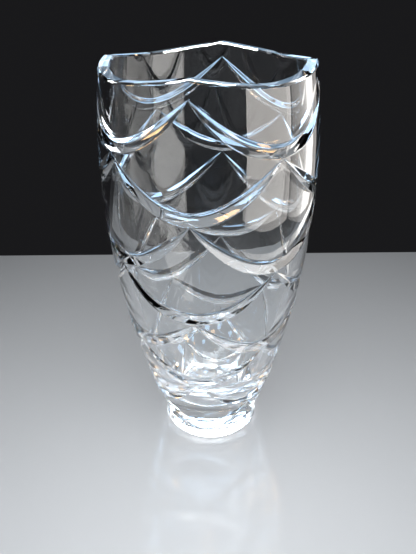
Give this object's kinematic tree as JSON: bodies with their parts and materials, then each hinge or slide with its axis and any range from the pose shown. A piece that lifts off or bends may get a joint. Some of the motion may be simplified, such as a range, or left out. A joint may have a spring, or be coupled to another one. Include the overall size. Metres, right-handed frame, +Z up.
{
  "type": "vase",
  "caption": "Tall tapered clear crystal vase with a gently scalloped rim, eight tiers of draped grooves cut round the outside like overlapping fish scales, and a thick round base.",
  "frame": {"origin": "centre of the flat underside, on the surface that the vase stands on", "axes": "+Z up along the vase's axis; one of the four rim peaks faces -Y, the others face +X, +Y and -X"},
  "size_m": [0.1518, 0.1518, 0.3],
  "materials": {
    "crystal": "clear, ground and polished"
  },
  "bodies": {
    "root": {"vase_body": "crystal"}
  },
  "joints": []
}
